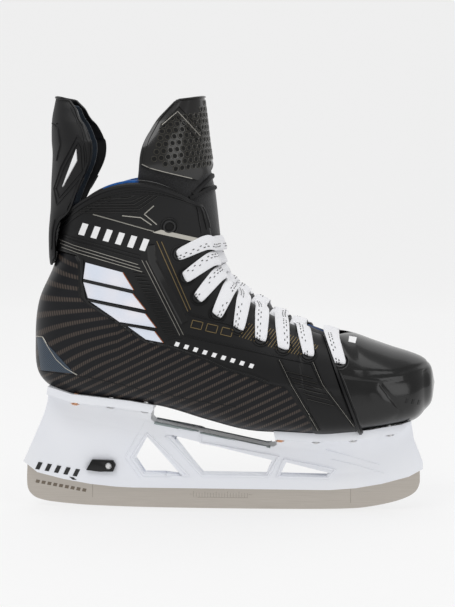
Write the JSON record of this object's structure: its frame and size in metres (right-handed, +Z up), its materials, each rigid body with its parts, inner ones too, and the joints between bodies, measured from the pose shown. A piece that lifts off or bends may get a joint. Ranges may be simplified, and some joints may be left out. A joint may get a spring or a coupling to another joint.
{
  "type": "ice hockey skate",
  "caption": "Ice hockey skate for the right foot: moulded carbon boot with a laced throat, tall perforated tongue, flexible tendon guard, and a steel runner in a plastic holder.",
  "frame": {"origin": "middle of the flat at the runner's lower edge, where the skate stands on the ice", "axes": "+Z up, +X towards the toe, -Y towards the outer side of the right foot"},
  "size_m": [0.3087, 0.1064, 0.3095],
  "materials": {
    "carbon": "satin carbon composite",
    "eyelet": "black",
    "footbed": "moulded foam with a knit cover",
    "guard": "matte flexible TPU",
    "guard_pad": "knit",
    "holder": "smooth nylon",
    "lace": "flat woven, waxed",
    "lever": "satin",
    "liner": "brushed microfibre",
    "moulded": "satin moulded TPU",
    "rivet_copper": "copper",
    "rivet_steel": "plain",
    "shield": "glossy, perforated",
    "steel": "ground and polished",
    "toe_cap": "glossy",
    "tongue_felt": "dense felt"
  },
  "bodies": {
    "boot": {"boot_shell": "carbon", "eyelet_inner_1": "eyelet", "eyelet_inner_10": "eyelet", "eyelet_inner_2": "eyelet", "eyelet_inner_3": "eyelet", "eyelet_inner_4": "eyelet", "eyelet_inner_5": "eyelet", "eyelet_inner_6": "eyelet", "eyelet_inner_7": "eyelet", "eyelet_inner_8": "eyelet", "eyelet_inner_9": "eyelet", "eyelet_outer_1": "eyelet", "eyelet_outer_10": "eyelet", "eyelet_outer_2": "eyelet", "eyelet_outer_3": "eyelet", "eyelet_outer_4": "eyelet", "eyelet_outer_5": "eyelet", "eyelet_outer_6": "eyelet", "eyelet_outer_7": "eyelet", "eyelet_outer_8": "eyelet", "eyelet_outer_9": "eyelet", "facing_inner": "moulded", "facing_outer": "moulded", "footbed": "footbed", "holder": "holder", "lace": "lace", "lever_screw": "rivet_steel", "liner": "liner", "rivet_inner_1": "rivet_copper", "rivet_inner_2": "rivet_steel", "rivet_inner_3": "rivet_steel", "rivet_inner_4": "rivet_copper", "rivet_inner_5": "rivet_steel", "rivet_inner_6": "rivet_steel", "rivet_inner_7": "rivet_steel", "rivet_outer_1": "rivet_copper", "rivet_outer_2": "rivet_steel", "rivet_outer_3": "rivet_steel", "rivet_outer_4": "rivet_copper", "rivet_outer_5": "rivet_steel", "rivet_outer_6": "rivet_steel", "rivet_outer_7": "rivet_steel", "toe_cap": "toe_cap", "tongue_lower": "tongue_felt"},
    "tongue_top": {"tongue_upper": "tongue_felt", "tongue_shield": "shield"},
    "guard": {"tendon_guard": "guard", "tendon_guard_pad": "guard_pad"},
    "blade": {"runner": "steel"},
    "lever": {"release_lever": "lever"}
  },
  "joints": [
    {"name": "runner_drop", "type": "hinge", "parent": "boot", "child": "blade", "pos_m": [0.126, 0, 0.03], "axis": [0, -1, 0], "range_deg": [0, 5]},
    {"name": "lever_turn", "type": "hinge", "parent": "boot", "child": "lever", "pos_m": [-0.0855, 0, 0.0328], "axis": [0, -1, 0], "range_deg": [0, 71]},
    {"name": "tendon_guard_flex", "type": "hinge", "parent": "boot", "child": "guard", "pos_m": [-0.1293, 0, 0.1845], "axis": [0, 1, 0], "range_deg": [-25, 0], "stiffness_Nm_per_rad": 4},
    {"name": "tongue_flex", "type": "hinge", "parent": "boot", "child": "tongue_top", "pos_m": [-0.0035, 0.0005, 0.2415], "axis": [0, 1, 0], "range_deg": [0, 40]}
  ],
  "couplings": [
    {"joint": "lever_turn", "follows": "runner_drop", "ratio": 14}
  ]
}
